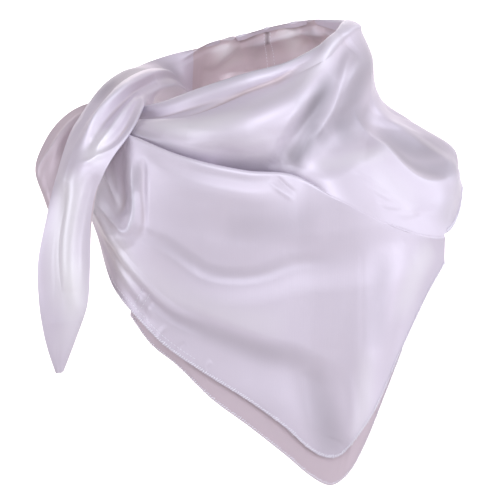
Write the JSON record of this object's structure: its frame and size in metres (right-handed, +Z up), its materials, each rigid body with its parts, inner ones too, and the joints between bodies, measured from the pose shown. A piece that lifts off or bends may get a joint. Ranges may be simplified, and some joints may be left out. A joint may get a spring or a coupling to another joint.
{
  "type": "satin square hijab scarf knotted round the neck",
  "caption": "Plain satin square scarf folded corner to corner and tied round the neck, with a cowl front, a hanging two-ply point and tails over one shoulder.",
  "frame": {"origin": "the middle of the neck ring, at the height of the front of its rim", "axes": "+Z up along the neck, -Y towards the wearer's front, +X towards the wearer's left, where the cloth lies over the shoulder"},
  "size_m": [0.351, 0.2328, 0.3665],
  "materials": {
    "satin": "glossy pale lilac satin",
    "satin_inside": "glossy pale lilac satin seen from its pinkish inner side"
  },
  "bodies": {
    "root": {"neck_drape_front": "satin", "neck_drape_back": "satin", "knot_wrap": "satin", "front_tail": "satin", "rear_tail": "satin_inside", "front_panel": "satin", "under_panel": "satin_inside"}
  },
  "joints": []
}
